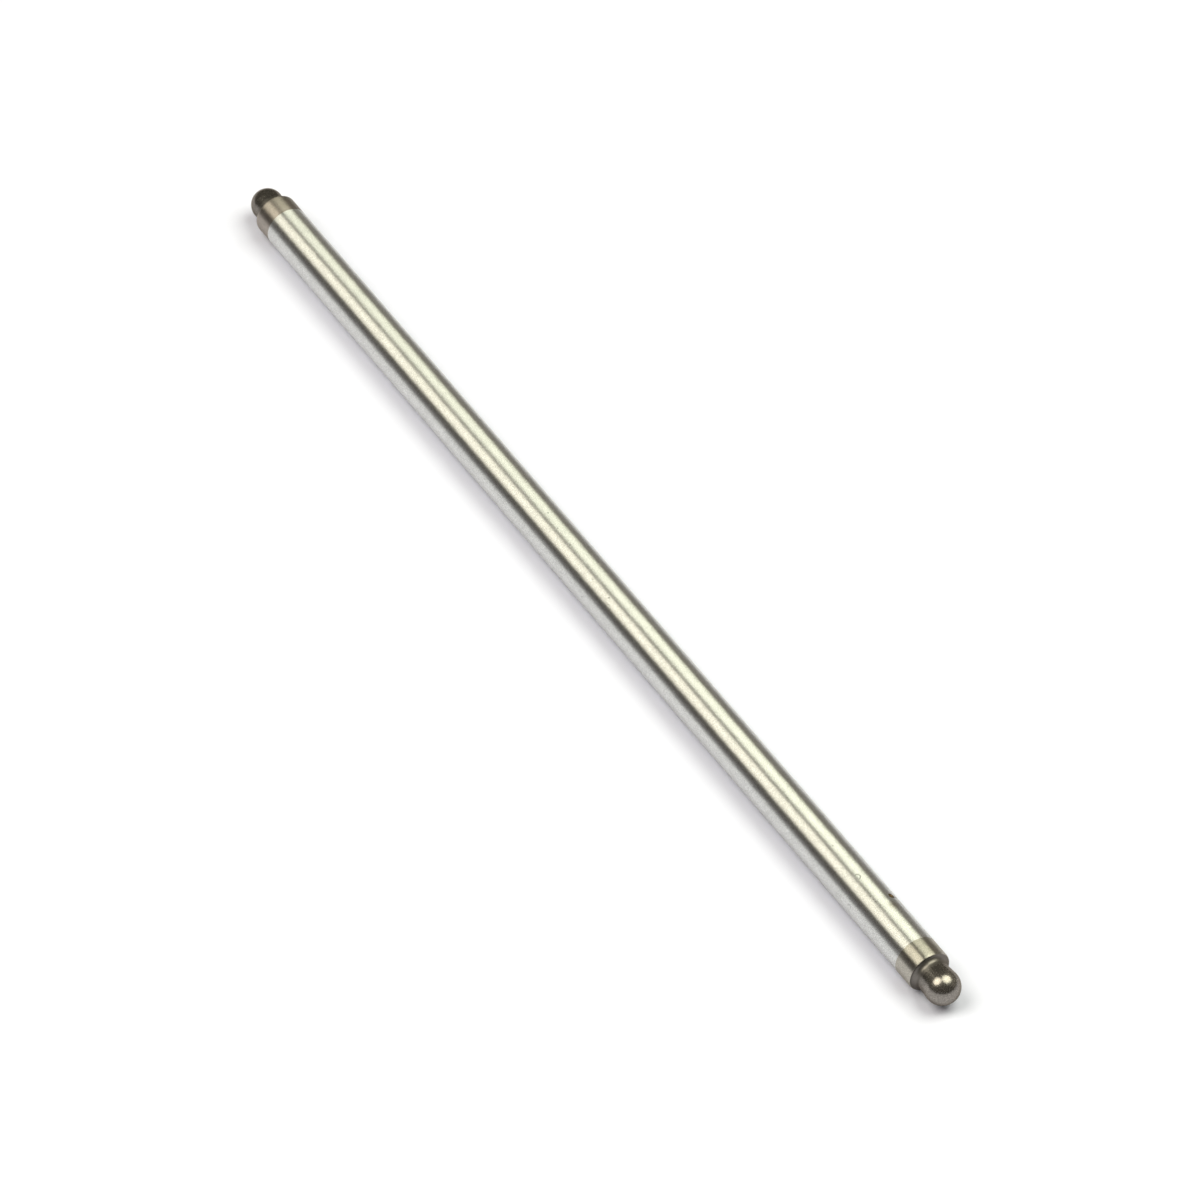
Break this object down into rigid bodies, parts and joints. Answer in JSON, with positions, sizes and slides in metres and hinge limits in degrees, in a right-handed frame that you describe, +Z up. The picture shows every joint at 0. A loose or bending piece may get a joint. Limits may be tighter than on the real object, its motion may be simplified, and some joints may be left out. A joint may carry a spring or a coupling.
{
  "type": "engine pushrod",
  "caption": "Straight light-alloy tube with a hardened steel ball end pressed into each end; carries the tappet's lift up to the rocker arm of an overhead-valve engine.",
  "frame": {"origin": "on the rod's axis, half way between the two tips", "axes": "+X along the rod towards the rocker end's tip, +Z up with the rod lying on its side"},
  "size_m": [0.2584, 0.009, 0.009],
  "materials": {
    "tube_alloy": "fine round-ground satin",
    "end_steel": "hardened, ground collar and satin ball"
  },
  "bodies": {
    "root": {"tube": "tube_alloy", "rocker_end": "end_steel", "tappet_end": "end_steel"}
  },
  "joints": []
}
